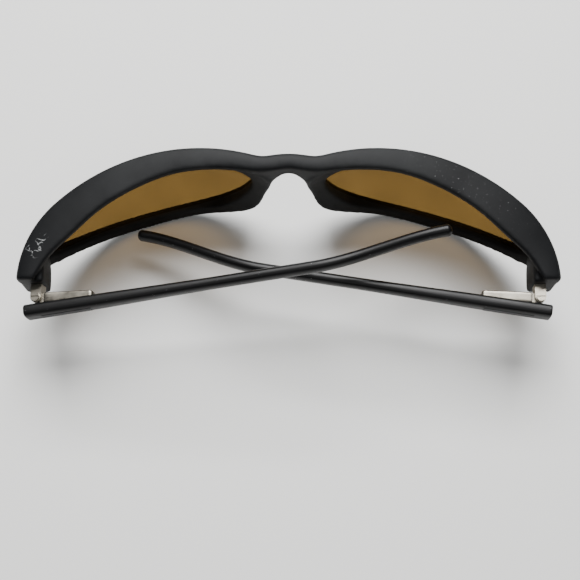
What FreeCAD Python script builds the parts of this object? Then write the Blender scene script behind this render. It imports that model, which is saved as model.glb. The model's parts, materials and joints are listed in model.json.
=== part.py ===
"""Wraparound sport sunglasses with sprung hinges, lying with both temples folded.

Frame: +X towards the wearer's right, +Y forward out through the lenses, +Z up.
Origin: the nose saddle, at the middle of the underside of the bridge.
The left temple folds over the right one, because the left hinge leans further.
"""
import FreeCAD, Part
import math
import os

from FreeCAD import Placement, Rotation, Vector

os.makedirs("parts", exist_ok=True)
doc = FreeCAD.newDocument("Sunglasses")

# ---------------------------------------------------------------------------
# Driving dimensions, in millimetres and degrees
# ---------------------------------------------------------------------------
DIMENSIONS = [
    # front
    ("lens_width", 55.6, "width of one lens opening"),
    ("lens_height", 27.8, "height of one lens opening"),
    ("lens_gap", 20.8, "distance between the two lens openings over the nose"),
    ("lens_drop", 5.3, "lens centres below the ends of the brow"),
    ("base_radius", 54.6, "radius of the spherical front face of the rims"),
    ("base_drop", 14.0, "centre of that sphere below the top of the brow"),
    ("base_lead", 1.5, "centre of that sphere ahead of the centre of the lobe"),
    ("rim_depth", 3.3, "front to back of the rims"),
    ("rim_width", 4.0, "width of the rims beside the lens openings"),
    ("lens_inset", 0.7, "lens front behind the rim's front face"),
    ("lens_thickness", 1.7, "thickness of the lenses"),
    ("groove_depth", 1.0, "how far a lens runs into its groove"),
    ("groove_clearance", 0.05, "gap round a lens in its groove"),
    ("lobe_radius", 56.0, "plan radius of the brow in front of each eye"),
    ("lobe_lead", 2.0, "brow in front of each eye ahead of the bridge"),
    ("lobe_shift", 13.2, "foremost point of the brow inward of the lens centre"),
    ("side_radius", 28.0, "plan radius where the brow wraps to the side"),
    ("brow_depth", 6.9, "front to back of the brow at its foremost point"),
    ("brow_height", 5.0, "height of the brow, which is the height of the bridge"),
    ("brow_drop", 6.8, "brow ends below the bridge"),
    ("bridge_depth", 4.0, "front to back of the bridge"),
    ("bridge_width", 14.4, "width of the bridge between the two lobes"),
    ("flare_width", 2.8, "back of the brow starts this far outside the bridge"),
    ("flare_depth", 2.2, "back of the brow there, behind the back of the bridge"),
    ("endpiece_width", 5.5, "lens opening to the outer edge of the front"),
    ("endpiece_block", 7.0, "width of the solid block that holds a hinge"),
    ("endpiece_height", 12.8, "height of that block"),
    ("endpiece_root", 4.5, "slope from the underside of the brow down to that block"),
    ("flange_depth", 7.0, "nose flange's rear edge behind the saddle"),
    ("flange_wall", 2.2, "thickness of a nose flange"),
    ("flange_length", 8.0, "outward reach of a nose flange from the lens opening's inner end"),
    # hinge
    ("pin_inset", 4.9, "hinge axis inward of the outer edge of the front"),
    ("pin_setback", 3.5, "hinge axis behind the rear face of the block"),
    ("pin_drop", 8.0, "middle of the hinge below the saddle"),
    ("knuckle_diameter", 2.8, "outside diameter of the hinge knuckles"),
    ("knuckle_height", 1.1, "height of each of the two outer knuckles"),
    ("tongue_height", 1.4, "height of the middle knuckle"),
    ("neck_width", 2.9, "width of the hinge neck and its anchor"),
    ("anchor_length", 4.0, "length of the anchor inside the block"),
    ("screw_diameter", 1.4, "hinge screw shank"),
    ("head_diameter", 2.4, "hinge screw head"),
    ("head_height", 0.6, "hinge screw head"),
    ("slot_width", 0.36, "driver slot in the screw head"),
    ("slot_depth", 0.32, "driver slot in the screw head"),
    ("running_clearance", 0.04, "radial gap of a turning or sliding fit"),
    ("face_clearance", 0.05, "gap between faces that turn on each other"),
    ("swing_clearance", 0.12, "gap between corners that swing past each other"),
    # spring case
    ("case_length", 13.5, "length of the spring case"),
    ("case_depth", 2.8, "case, square to the temple's face"),
    ("case_height", 3.4, "height of the case"),
    ("case_offset", 2.2, "mouth of the case from the hinge axis"),
    ("case_middle", 0.1, "middle of the case behind the hinge axis"),
    ("case_round", 0.9, "rounding of the far end of the case"),
    ("case_sink", 6.4, "angle at which the case sinks into the temple"),
    ("bore_diameter", 2.0, "bore for the spring"),
    ("bore_depth", 8.0, "depth of that bore"),
    ("bush_length", 1.6, "retainer in the mouth of the bore"),
    ("rod_diameter", 1.0, "slider rod"),
    ("rod_head_diameter", 1.7, "peened end of the rod"),
    ("rod_head_length", 0.6, "peened end of the rod"),
    ("spring_length", 4.8, "fitted length of the spring"),
    ("spring_diameter", 1.8, "outside diameter of the spring"),
    ("spring_wire", 0.3, "wire of the spring"),
    ("spring_turns", 8.0, "turns of the spring"),
    ("tongue_width", 2.4, "width of the slider's neck"),
    ("tongue_gap", 0.1, "slider's shoulder to the mouth of the case"),
    ("rivet_diameter", 0.8, "rivets through the case"),
    ("rivet_head_diameter", 1.3, "rivets through the case"),
    ("rivet_head_height", 0.3, "rivets through the case"),
    ("rivet_depth", 4.3, "length of a rivet below its head"),
    ("rivet_pitch", 2.1, "distance between the two rivets"),
    ("rivet_margin", 1.7, "outer rivet from the far end of the case"),
    # temples
    ("temple_reach", 110.0, "hinge axis to the tip along the temple"),
    ("temple_butt", 3.3, "square end of the temple beyond the hinge axis"),
    ("temple_inner", 1.6, "inner face of the temple behind the hinge axis"),
    ("temple_thickness", 3.6, "temple at its square end"),
    ("temple_height", 6.0, "temple at its square end"),
    ("waist_distance", 17.0, "hinge axis to the end of the deep part"),
    ("waist_height", 5.2, "temple height there"),
    ("arm_distance", 45.0, "hinge axis to where the slim part begins"),
    ("arm_thickness", 3.0, "slim part of the temple"),
    ("arm_height", 4.2, "slim part of the temple"),
    ("hook_start", 74.0, "hinge axis to where the tip starts to curve"),
    ("hook_inward", 6.9, "how far the tip curves inward"),
    ("hook_drop", 8.5, "how far the tip curves down"),
    ("plaque_length", 13.5, "plain plaque on the outer face"),
    ("plaque_height", 2.2, "plain plaque on the outer face"),
    ("plaque_thickness", 0.5, "plain plaque on the outer face"),
    ("plaque_proud", 0.1, "plaque above the temple's outer face"),
    ("plaque_start", 1.0, "plaque from the hinge axis"),
    # pose when folded
    ("cant_left", 8.0, "left temple rises towards the middle when folded"),
    ("cant_right", -1.0, "right temple rises towards the middle when folded"),
    ("fold_left", 7.0, "left temple turned towards the lenses past straight across"),
    ("fold_right", 9.3, "right temple turned towards the lenses past straight across"),
]

sheet = doc.addObject("Spreadsheet::Sheet", "Sizes")
for row, (alias, value, meaning) in enumerate(DIMENSIONS, start=1):
    sheet.set(f"A{row}", meaning)
    sheet.set(f"B{row}", str(value))
    sheet.setAlias(f"B{row}", alias)
doc.recompute()


def size(alias):
    """Value of one driving dimension."""
    return float(sheet.get(alias))


def bind(obj, **expressions):
    """Bind properties to expressions in which a bare word S.name is a cell of the sheet."""
    for prop, text in expressions.items():
        obj.setExpression(prop.replace("__", "."), text.replace("S.", "Sizes."))


# ---------------------------------------------------------------------------
# Places worked out from the driving dimensions
# ---------------------------------------------------------------------------
half_width = size("lens_gap") / 2 + size("lens_width") + size("endpiece_width")
lens_centre_x = size("lens_gap") / 2 + size("lens_width") / 2
lens_centre_z = -size("brow_drop") - size("lens_drop")
lobe_x = lens_centre_x - size("lobe_shift")
lobe_y = size("bridge_depth") / 2 + size("lobe_lead") - size("lobe_radius")
radius_step = size("lobe_radius") - size("side_radius")
wrap_sine = (half_width - size("side_radius") - lobe_x) / radius_step
wrap_cosine = math.sqrt(1 - wrap_sine ** 2)
rear_y = lobe_y + radius_step * wrap_cosine
sphere_centre = Vector(lobe_x, lobe_y + size("base_lead"),
                       size("brow_height") - size("base_drop"))
block_bottom = size("brow_height") - size("brow_drop") - size("endpiece_height")
pin_x = half_width - size("pin_inset")
pin_y = rear_y - size("pin_setback")
TALL = 60.0       # longer than anything that it cuts or trims
OVERRUN = 1.0     # how far a cutting shape runs past the face that it opens


def hinge_frame(side, angle=0.0):
    """Placement of a hinge's own frame: Z along the screw, X towards the middle when
    the angle is zero, turned towards the lenses by the angle. Side is -1 left, 1 right."""
    cant = size("cant_left") if side < 0 else size("cant_right")
    lean = Rotation(Vector(0, 1, 0), side * cant)
    turn = Rotation(Vector(0, 0, 1), -side * angle)
    return Placement(Vector(side * pin_x, pin_y, -size("pin_drop")), lean * turn)


def fold_angle(side):
    return size("fold_left") if side < 0 else size("fold_right")


# ---------------------------------------------------------------------------
# Small helpers
# ---------------------------------------------------------------------------
def flat_sketch(name, edges, role):
    """Sketch of a closed outline in the XY or XZ plane of the document."""
    sketch = doc.addObject("Sketcher::SketchObject", name)
    if role == "XZ":
        sketch.Placement = Placement(Vector(), Rotation(Vector(1, 0, 0), 90))
    sketch.addGeometry(edges, False)
    return sketch


def line(start, end):
    return Part.LineSegment(Vector(start[0], start[1], 0), Vector(end[0], end[1], 0))


def arc(start, middle, end):
    points = [Vector(x, y, 0) for x, y in (start, middle, end)]
    return Part.Arc(*points)


def extrusion(name, sketch, low, high):
    """Prism of a sketch between two heights along the sketch's own normal."""
    prism = doc.addObject("Part::Extrusion", name)
    prism.Base = sketch
    prism.DirMode = "Normal"
    prism.Solid = True
    prism.LengthFwd = high
    prism.LengthRev = -low
    return prism


def boolean(kind, name, *shapes):
    """Part::Cut of two objects, or Part::MultiFuse or Part::MultiCommon of several."""
    result = doc.addObject("Part::" + kind, name)
    if kind == "Cut":
        result.Base, result.Tool = shapes
    else:
        result.Shapes = list(shapes)
    return result


def box(name, length, width, height, corner):
    """Box whose three sizes are expressions, with its low corner at a point."""
    block = doc.addObject("Part::Box", name)
    bind(block, Length=length, Width=width, Height=height)
    block.Placement.Base = Vector(*corner)
    return block


def cylinder(name, diameter, height, base=(0, 0, 0), rotation=Rotation()):
    rod = doc.addObject("Part::Cylinder", name)
    bind(rod, Radius=f"({diameter}) / 2", Height=height)
    rod.Placement = Placement(Vector(*base), rotation)
    return rod


def mirrored(source, name, left_angle, right_angle):
    """Right-hand copy of a left-hand hinge piece, turned to the right hinge's own frame."""
    copy = doc.addObject("Part::Mirroring", name)
    copy.Source = source
    copy.Base = Vector(0, 0, 0)
    copy.Normal = Vector(1, 0, 0)
    left = hinge_frame(-1, left_angle)
    axis = left.Rotation.Axis
    flipped = Rotation(Vector(axis.x, -axis.y, -axis.z), math.degrees(left.Rotation.Angle))
    seen = Placement(Vector(-left.Base.x, left.Base.y, left.Base.z), flipped)
    copy.Placement = hinge_frame(1, right_angle) * seen.inverse()
    return copy


TURN_TO_X = Rotation(Vector(0, 1, 0), 90)     # a cylinder along +X
TURN_TO_Y = Rotation(Vector(1, 0, 0), -90)    # a cylinder along +Y
nodes = {}


def keep(name, obj, placement=None):
    """Name a finished sub-part and put it in its place."""
    obj.Label = name
    if placement is not None:
        obj.Placement = placement
    nodes[name] = obj


# ---------------------------------------------------------------------------
# Outlines of the front
# ---------------------------------------------------------------------------
def on_circle(centre, radius, x):
    return (x, centre[1] + math.sqrt(radius ** 2 - (x - centre[0]) ** 2))


def front_curve():
    """Front edge of the right half in plan: bridge arc, eye lobe, then the side wrap."""
    lobe = (lobe_x, lobe_y)
    side = (lobe_x + radius_step * wrap_sine, rear_y)
    dip = on_circle(lobe, size("lobe_radius"), size("bridge_width") / 2)
    front = (0, size("bridge_depth") / 2)
    rise = front[1] - dip[1]
    bridge_radius = (dip[0] ** 2 + rise ** 2) / (2 * rise)
    bridge = (0, front[1] - bridge_radius)
    join = (lobe_x + size("lobe_radius") * wrap_sine, lobe_y + size("lobe_radius") * wrap_cosine)
    end = (half_width, rear_y)
    half_turn = math.asin(wrap_sine) / 2 + math.pi / 4
    bend = (side[0] + size("side_radius") * math.sin(half_turn),
            side[1] + size("side_radius") * math.cos(half_turn))
    return [arc(front, on_circle(bridge, bridge_radius, dip[0] / 2), dip),
            arc(dip, on_circle(lobe, size("lobe_radius"), lobe_x), join),
            arc(join, bend, end)], end


def brow_plan():
    """The brow and the hinge block from above."""
    edges, end = front_curve()
    corner = (half_width - size("endpiece_block"), rear_y)
    flare = (size("bridge_width") / 2 + size("flare_width"),
             -size("bridge_depth") / 2 - size("flare_depth"))
    apex = (lobe_x, lobe_y + size("lobe_radius") - size("brow_depth"))
    back = (0, -size("bridge_depth") / 2)
    inner = (size("bridge_width") / 2, back[1])
    edges += [line(end, corner), arc(corner, apex, flare), line(flare, inner), line(inner, back),
              line(back, (0, size("bridge_depth") / 2))]
    return edges


def front_plan():
    """Everything behind the front edge, for trimming the rims."""
    edges, end = front_curve()
    far = -TALL
    return edges + [line(end, (end[0], far)), line((end[0], far), (0, far)),
                    line((0, far), (0, size("bridge_depth") / 2))]


def brow_line(x):
    """Height of the brow's top at a distance from the middle."""
    return size("brow_height") - size("brow_drop") * (x / half_width) ** 2


def brow_elevation():
    """The brow and the hinge block from the front."""
    edge = half_width + OVERRUN
    root = half_width - size("endpiece_block") - size("endpiece_root")
    height = size("brow_height")
    top = [(0, brow_line(0)), (edge / 2, brow_line(edge / 2)), (edge, brow_line(edge))]
    under = [(root, brow_line(root) - height), (root / 2, brow_line(root / 2) - height), (0, 0)]
    low_in = (half_width - size("endpiece_block"), block_bottom)
    return [arc(*top), line(top[2], (edge, block_bottom)), line((edge, block_bottom), low_in),
            line(low_in, under[0]), arc(*under), line(under[2], top[0])]


# shares of half a lens opening, across and up, round the opening from its inner side
LENS_SHAPE = [(-1.0, 0.48), (-0.93, -0.05), (-0.64, -0.69), (0.0, -1.06), (0.62, -0.79),
              (0.92, -0.32), (1.0, 0.08), (0.78, 0.52), (0.0, 0.84), (-0.76, 0.88)]
# the same for the outside of a rim, of the opening with the rim's width added
RIM_SHAPE = [(-1.075, 0.54), (-1.01, 0.03), (-0.91, -0.45), (-0.69, -0.74), (0.01, -1.045),
             (0.607, -0.80), (0.89, -0.43), (1.01, -0.07), (1.03, 0.30), (0.37, 0.60),
             (-0.415, 0.78), (-0.95, 0.76)]


def eye_outline(shape, growth):
    """Smooth closed outline round the right eye, grown beyond the lens opening."""
    half_w = size("lens_width") / 2 + growth
    half_h = size("lens_height") / 2 + growth
    points = [Vector(lens_centre_x + across * half_w, lens_centre_z + up * half_h, 0)
              for across, up in shape]
    curve = Part.BSplineCurve()
    curve.interpolate(Points=points, PeriodicFlag=True)
    return [curve]


# ---------------------------------------------------------------------------
# Front frame and lenses
# ---------------------------------------------------------------------------
def sphere(name, radius):
    ball = doc.addObject("Part::Sphere", name)
    bind(ball, Radius=radius)
    ball.Placement.Base = sphere_centre
    return ball


def shell(name, outer, inner):
    """Space between two spheres about the centre of the base curve."""
    return boolean("Cut", name, sphere(name + "_outer", outer), sphere(name + "_inner", inner))


def eye_prism(name, shape, growth):
    """Prism through the front; the XZ sketch's normal points backwards."""
    return extrusion(name, flat_sketch(name + "_outline", eye_outline(shape, growth), "XZ"),
                     -TALL / 4, TALL)


def mirrored_half(source, name):
    copy = doc.addObject("Part::Mirroring", name)
    copy.Source = source
    copy.Normal = Vector(1, 0, 0)
    return copy


lens_front = "S.base_radius - S.lens_inset"
lens_back = lens_front + " - S.lens_thickness"
groove = size("groove_depth")

rim_shell = shell("rim_shell", "S.base_radius", "S.base_radius - S.rim_depth")
rim_prism = eye_prism("rim_prism", RIM_SHAPE, size("rim_width"))
plan_prism = extrusion("plan_prism", flat_sketch("plan_outline", front_plan(), "XY"), -TALL, TALL)
bulge = sphere_centre.y + size("base_radius") - lobe_y - size("lobe_radius")
plan_prism.Placement.Base = Vector(0, bulge, 0)
rim_blank = boolean("MultiCommon", "rim_blank", rim_shell, rim_prism, plan_prism)
opening = eye_prism("opening", LENS_SHAPE, 0.0)
rim = boolean("Cut", "rim", rim_blank, opening)

brow_prism = extrusion("brow_prism", flat_sketch("brow_outline", brow_plan(), "XY"), -TALL, TALL)
brow_slab = extrusion("brow_slab", flat_sketch("brow_face", brow_elevation(), "XZ"), -TALL, TALL)
brow = boolean("MultiCommon", "brow", brow_prism, brow_slab)

flange_outer = eye_prism("flange_outer", RIM_SHAPE, size("rim_width"))
flange_inner = eye_prism("flange_inner", RIM_SHAPE, size("rim_width"))
flange_inner.Placement.Base = Vector(size("flange_wall"), 0, size("flange_wall"))
flange_strip = boolean("Cut", "flange_strip", flange_outer, flange_inner)
flange_reach = box("flange_reach", "S.lens_gap / 2 + S.flange_length", "S.flange_depth",
                   "S.lens_height", (0, -size("flange_depth"), -size("lens_height")))
flange = boolean("MultiCommon", "flange", flange_strip, flange_reach)

seat_shell = shell("seat_shell", lens_front + " + S.groove_clearance",
                   lens_back + " - S.groove_clearance")
seat_prism = eye_prism("seat_prism", LENS_SHAPE, groove + size("groove_clearance"))
seat = boolean("MultiCommon", "seat", seat_shell, seat_prism)
half_blank = boolean("MultiFuse", "half_blank", rim, brow, flange)
half_front = boolean("Cut", "half_front", half_blank, seat)
other_half = mirrored_half(half_front, "other_half")
whole_front = boolean("MultiFuse", "whole_front", half_front, other_half)

lens_shell = shell("lens_shell", lens_front, lens_back)
lens_prism = eye_prism("lens_prism", LENS_SHAPE, groove)
lens_right = boolean("MultiCommon", "lens_blank", lens_shell, lens_prism)
keep("lens_right", lens_right)
keep("lens_left", mirrored_half(lens_right, "lens_blank_left"))

STACK = "(S.tongue_height + 2 * S.knuckle_height)"
stack = size("tongue_height") + 2 * size("knuckle_height")
anchors = []
for side in (-1, 1):
    word = "left" if side < 0 else "right"
    pocket = box("anchor_pocket_" + word, "S.neck_width", f"S.anchor_length + {OVERRUN}", STACK,
                 (0, 0, 0))
    corner = Placement(Vector(-size("neck_width") / 2, size("pin_setback") - OVERRUN,
                              -stack / 2), Rotation())
    pocket.Placement = hinge_frame(side) * corner
    anchors.append(pocket)
pockets = boolean("MultiFuse", "anchor_pockets", *anchors)
keep("front_frame", boolean("Cut", "front_cut", whole_front, pockets))


# ---------------------------------------------------------------------------
# Hinge pieces, each in the hinge's own frame: Z along the screw, X towards the temple's tip
# ---------------------------------------------------------------------------
def body_plane(body, role):
    for feature in body.Origin.OriginFeatures:
        if feature.Role == role:
            return feature
    raise ValueError(role)


def body_sketch(body, name, role, offset=Placement()):
    sketch = body.newObject("Sketcher::SketchObject", name)
    sketch.AttachmentSupport = [(body_plane(body, role), "")]
    sketch.MapMode = "FlatFace"
    sketch.AttachmentOffset = offset
    return sketch


ORIGIN = (-1, 1)      # the sketch's own origin as a constraint point
UPRIGHT = -2          # the sketch's own vertical axis
START, END, CENTRE = 1, 2, 3


def constrain(sketch, kind, *places):
    sketch.addConstraint(Sketcher.Constraint(kind, *places))


def dimension(sketch, name, kind, expression, *places):
    """Named dimension of a sketch, bound to the sheet."""
    index = sketch.addConstraint(Sketcher.Constraint(kind, *places, 1.0))
    sketch.renameConstraint(index, name)
    sketch.setExpression("Constraints." + name, expression.replace("S.", "Sizes."))


def rectangle(sketch, width, height):
    """Rectangle centred on the sketch's origin, with both sizes bound to the sheet."""
    corners = [(-1, -1), (1, -1), (1, 1), (-1, 1)]
    for start, end in zip(corners, corners[1:] + corners[:1]):
        sketch.addGeometry(line(start, end), False)
    for edge in range(4):
        constrain(sketch, "Coincident", edge, END, (edge + 1) % 4, START)
    for edge in (0, 2):
        constrain(sketch, "Horizontal", edge)
    for edge in (1, 3):
        constrain(sketch, "Vertical", edge)
    constrain(sketch, "Symmetric", 0, START, 2, START, *ORIGIN)
    dimension(sketch, "width", "DistanceX", width, 0, START, 0, END)
    dimension(sketch, "height", "DistanceY", height, 1, START, 1, END)


def circle(sketch, diameter):
    sketch.addGeometry(Part.Circle(Vector(), Vector(0, 0, 1), 1.0), False)
    constrain(sketch, "Coincident", 0, CENTRE, *ORIGIN)
    dimension(sketch, "diameter", "Diameter", diameter, 0)


def stadium(sketch, thickness, height):
    """Upright oval with round ends, centred on the sketch's origin."""
    sketch.addGeometry(Part.ArcOfCircle(Part.Circle(Vector(0, 1, 0), Vector(0, 0, 1), 1.0),
                                        0.0, math.pi), False)
    sketch.addGeometry(line((-1, 1), (-1, -1)), False)
    sketch.addGeometry(Part.ArcOfCircle(Part.Circle(Vector(0, -1, 0), Vector(0, 0, 1), 1.0),
                                        math.pi, 2 * math.pi), False)
    sketch.addGeometry(line((1, -1), (1, 1)), False)
    for edge in range(4):
        constrain(sketch, "Tangent", edge, END, (edge + 1) % 4, START)
    constrain(sketch, "PointOnObject", 0, CENTRE, UPRIGHT)
    constrain(sketch, "Symmetric", 0, CENTRE, 2, CENTRE, *ORIGIN)
    dimension(sketch, "radius", "Radius", f"({thickness}) / 2", 0)
    dimension(sketch, "span", "DistanceY", f"({height}) - ({thickness})", 2, CENTRE, 0, CENTRE)


def pad(body, name, sketch, length, symmetric=False):
    feature = body.newObject("PartDesign::Pad", name)
    feature.Profile = sketch
    if symmetric:
        feature.SideType = "Symmetric"
    bind(feature, Length=length)
    return feature


def pocket(body, name, sketch, length, symmetric=False, backwards=False):
    feature = body.newObject("PartDesign::Pocket", name)
    feature.Profile = sketch
    if symmetric:
        feature.SideType = "Symmetric"
    feature.Reversed = backwards
    bind(feature, Length=length)
    return feature


def check_cut(before, after, what):
    """A pocket that points away from the solid removes nothing, so compare volumes."""
    if after.Shape.Volume > before.Shape.Volume - 1e-4:
        raise ValueError(what + " removed nothing")


# front hinge: two knuckles, a neck and an anchor that sits in the block
half_tongue = size("tongue_height") / 2
rest_angle = {side: fold_angle(side) - size("case_sink") for side in (-1, 1)}

knuckle = cylinder("knuckle", "S.knuckle_diameter", STACK, (0, 0, -stack / 2))
neck = box("neck", "S.neck_width", "S.pin_setback + S.anchor_length", STACK,
           (-size("neck_width") / 2, 0, -stack / 2))
hinge_blank = boolean("MultiFuse", "hinge_blank", knuckle, neck)
SWING = "sqrt(S.neck_width ^ 2 + S.tongue_width ^ 2) + 2 * S.swing_clearance"
tongue_slot = cylinder("tongue_slot", SWING, "S.tongue_height + 2 * S.face_clearance",
                       (0, 0, -half_tongue - size("face_clearance")))
screw_hole = cylinder("screw_hole", "S.screw_diameter", STACK, (0, 0, -stack / 2))
slots = boolean("MultiFuse", "hinge_cuts", tongue_slot, screw_hole)
front_hinge = boolean("Cut", "front_hinge", hinge_blank, slots)
keep("front_hinge_left", front_hinge, hinge_frame(-1))
keep("front_hinge_right", mirrored(front_hinge, "front_hinge_copy", 0, 0))

# hinge screw: shank and head with a driver slot
screw = doc.addObject("PartDesign::Body", "screw")
low = Placement(Vector(0, 0, -stack / 2), Rotation())
shank_sketch = body_sketch(screw, "shank_outline", "XY_Plane", low)
circle(shank_sketch, "S.screw_diameter")
pad(screw, "shank", shank_sketch, STACK)
high = Placement(Vector(0, 0, stack / 2), Rotation())
head_sketch = body_sketch(screw, "head_outline", "XY_Plane", high)
circle(head_sketch, "S.head_diameter")
head = pad(screw, "head", head_sketch, "S.head_height")
above = Placement(Vector(0, 0, stack / 2 + size("head_height")), Rotation())
slot_sketch = body_sketch(screw, "slot_outline", "XY_Plane", above)
rectangle(slot_sketch, f"S.head_diameter + {OVERRUN}", "S.slot_width")
driver_slot = pocket(screw, "driver_slot", slot_sketch, "S.slot_depth")
keep("hinge_screw_left", screw, hinge_frame(-1))

# slider: middle knuckle, neck, rod and the rod's peened end
mouth = size("case_offset")
ring = cylinder("ring", "S.knuckle_diameter", "S.tongue_height", (0, 0, -half_tongue))
tongue = box("tongue", "S.case_offset - S.tongue_gap", "S.tongue_width", "S.tongue_height",
             (0, -size("tongue_width") / 2, -half_tongue))
rod_end = mouth + size("bush_length") + size("spring_length")
rod = cylinder("rod", "S.rod_diameter",
               "S.case_offset + S.bush_length + S.spring_length - S.knuckle_diameter / 3",
               (size("knuckle_diameter") / 3, 0, 0), TURN_TO_X)
peen = cylinder("peen", "S.rod_head_diameter", "S.rod_head_length", (rod_end, 0, 0), TURN_TO_X)
slider_blank = boolean("MultiFuse", "slider_blank", ring, tongue, rod, peen)
pin_bore = cylinder("pin_bore", "S.screw_diameter + 2 * S.running_clearance",
                    f"S.tongue_height + {2 * OVERRUN}", (0, 0, -half_tongue - OVERRUN))
slider = boolean("Cut", "slider", slider_blank, pin_bore)
keep("spring_slider_left", slider, hinge_frame(-1, rest_angle[-1]))

# retainer bush in the mouth of the bore
bush = doc.addObject("PartDesign::Body", "bush")
along = Placement(Vector(0, 0, mouth), Rotation())
bush_sketch = body_sketch(bush, "bush_outline", "YZ_Plane", along)
circle(bush_sketch, "S.bore_diameter")
bush_pad = pad(bush, "bush_pad", bush_sketch, "S.bush_length")
bush_bore = body_sketch(bush, "bush_bore", "YZ_Plane", along)
circle(bush_bore, "S.rod_diameter + 2 * S.running_clearance")
bush_hole = pocket(bush, "bush_hole", bush_bore, "S.bush_length", backwards=True)
keep("spring_retainer_left", bush, hinge_frame(-1, rest_angle[-1]))


def spring_shape():
    """Round wire swept along a helix round the slider's rod."""
    wire = size("spring_wire")
    radius = (size("spring_diameter") - wire) / 2
    length = size("spring_length") - wire - 2 * size("face_clearance")
    helix = Part.makeHelix(length / size("spring_turns"), length, radius)
    section = Part.Wire([Part.makeCircle(wire / 2, Vector(radius, 0, 0), Vector(0, 1, 0))])
    return Part.Wire(helix.Edges).makePipeShell([section], True, True)


spring = doc.addObject("Part::Feature", "spring")
spring.Shape = spring_shape()
spring_start = mouth + size("bush_length") + size("face_clearance") + size("spring_wire") / 2
spring_seat = Placement(Vector(spring_start, 0, 0), TURN_TO_X)
keep("hinge_spring_left", spring, hinge_frame(-1, rest_angle[-1]) * spring_seat)

# spring case: rounded block with the spring's bore and two rivet holes
case_middle = -size("case_middle")
case = doc.addObject("PartDesign::Body", "case")
case_seat = Placement(Vector(case_middle, 0, mouth), Rotation())
case_sketch = body_sketch(case, "case_outline", "YZ_Plane", case_seat)
rectangle(case_sketch, "S.case_depth", "S.case_height")
case_pad = pad(case, "case_pad", case_sketch, "S.case_length")
bore_sketch = body_sketch(case, "bore_outline", "YZ_Plane", along)
circle(bore_sketch, "S.bore_diameter")
bore = pocket(case, "bore", bore_sketch, "S.bore_depth", backwards=True)
far_edges = []
doc.recompute()
far_x = mouth + size("case_length")
for index, edge in enumerate(bore.Shape.Edges, start=1):
    middle = edge.CenterOfMass
    if abs(middle.x - far_x) < 1e-6 and abs(middle.z) > size("case_height") / 2 - 1e-6:
        far_edges.append(f"Edge{index}")
rounding = case.newObject("PartDesign::Fillet", "far_end")
rounding.Base = (bore, far_edges)
bind(rounding, Radius="S.case_round")
case.Tip = rounding


def rivet_places():
    last = far_x - size("rivet_margin")
    return [last - size("rivet_pitch"), last]


def rivet_shank(name, x, extra=""):
    """Cylinder through the case into the temple, along -Y of the case's own frame."""
    face = case_middle + size("case_depth") / 2
    return cylinder(name, "S.rivet_diameter", "S.rivet_depth" + extra, (x, face, 0),
                    Rotation(Vector(1, 0, 0), 90))


case_holes = boolean("MultiFuse", "case_holes",
                     *[rivet_shank(f"case_hole_{n}", x) for n, x in enumerate(rivet_places())])
case_part = boolean("Cut", "case_part", case, case_holes)
keep("hinge_case_left", case_part, hinge_frame(-1, rest_angle[-1]))

rivet_parts = []
for number, x in enumerate(rivet_places()):
    cap = doc.addObject("Part::Cone", f"rivet_head_{number}")
    bind(cap, Radius1="S.rivet_head_diameter / 2", Radius2="S.rivet_head_diameter / 3",
         Height="S.rivet_head_height")
    cap.Placement = Placement(Vector(x, case_middle + size("case_depth") / 2, 0), TURN_TO_Y)
    rivet_parts.append(boolean("MultiFuse", f"rivet_{number}", cap,
                               rivet_shank(f"rivet_shank_{number}", x)))
rivets = doc.addObject("Part::Compound", "rivets")
rivets.Links = rivet_parts
keep("case_rivets_left", rivets, hinge_frame(-1, rest_angle[-1]))

# ---------------------------------------------------------------------------
# Temples, in the hinge's own frame turned so that X runs along the temple
# ---------------------------------------------------------------------------
temple = doc.addObject("PartDesign::Body", "temple")
HOOK_STEPS = 6


def temple_section(name, distance, thickness, height, bend):
    """Oval section of the temple. Bend runs from 0 at the start of the hook to 1 at its end,
    and the tip follows the smooth step 3 b^2 - 2 b^3 of it, inward and down."""
    step = bend ** 2 * (3 - 2 * bend)
    slope = 6 * bend * (1 - bend) / (size("temple_reach") - size("hook_start"))
    inward = math.degrees(math.atan(slope * size("hook_inward")))
    down = math.degrees(math.atan(slope * size("hook_drop")))
    turn = Rotation(Vector(0, 1, 0), inward) * Rotation(Vector(1, 0, 0), down)
    sketch = body_sketch(temple, name, "YZ_Plane", Placement(Vector(), turn))
    sketch.setExpression("AttachmentOffset.Base.z", distance.replace("S.", "Sizes."))
    across = f"S.hook_inward * {step:.6f} - S.temple_inner - S.temple_thickness / 2"
    sketch.setExpression("AttachmentOffset.Base.x", across.replace("S.", "Sizes."))
    sketch.setExpression("AttachmentOffset.Base.y", f"-Sizes.hook_drop * {step:.6f}")
    stadium(sketch, thickness, height)
    return sketch


ARM = ("S.arm_thickness", "S.arm_height")
sections = [
    temple_section("section_butt", "-S.temple_butt", "S.temple_thickness", "S.temple_height", 0),
    temple_section("section_waist", "S.waist_distance", "S.temple_thickness", "S.waist_height", 0),
    temple_section("section_arm", "S.arm_distance", *ARM, 0),
]
for number in range(HOOK_STEPS + 1):
    share = number / HOOK_STEPS
    where = f"S.hook_start + (S.temple_reach - S.hook_start) * {share:.6f}"
    sections.append(temple_section(f"section_hook_{number}", where, *ARM, share))
TIP_TAPER = 0.6        # the tip's size as a share of the arm's, which rounds it off
sections.append(temple_section("section_tip", "S.temple_reach + S.arm_thickness / 3",
                               f"S.arm_thickness * {TIP_TAPER}",
                               f"S.arm_height * {TIP_TAPER}", 1.0))
STRAIGHT = 4           # sections of the straight part, whose sides are flat between them
for name, chosen, ruled in (("arm", sections[:STRAIGHT], True),
                            ("hook", sections[STRAIGHT - 1:-1], False),
                            ("tip", sections[-2:], True)):
    loft = temple.newObject("PartDesign::AdditiveLoft", name)
    loft.Profile = chosen[0]
    loft.Sections = chosen[1:]
    loft.Ruled = ruled

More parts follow.
